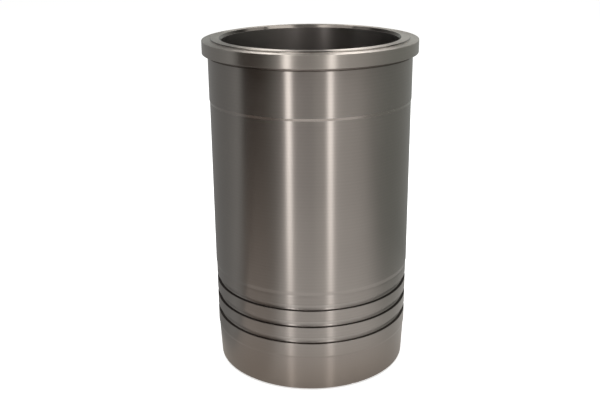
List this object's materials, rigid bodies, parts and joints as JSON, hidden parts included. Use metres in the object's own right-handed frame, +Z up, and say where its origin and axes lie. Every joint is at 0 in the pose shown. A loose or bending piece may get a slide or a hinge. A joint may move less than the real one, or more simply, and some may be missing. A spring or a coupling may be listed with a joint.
{
  "type": "cylinder liner",
  "caption": "Wet cylinder liner of cast iron: a straight honed bore, a hanging flange with a raised ring, a long plain wall, seal grooves near the foot and a tapered skirt.",
  "frame": {"origin": "centre of the bore at the liner's foot, the face it stands on", "axes": "+Z up the bore from the foot to the flange; the liner is round, so +X and +Y are free"},
  "size_m": [0.1544, 0.1544, 0.2447],
  "materials": {
    "turned_iron": "fine turned outside and honed bore, semi-gloss, oiled"
  },
  "bodies": {
    "root": {"cylinder_liner": "turned_iron"}
  },
  "joints": []
}
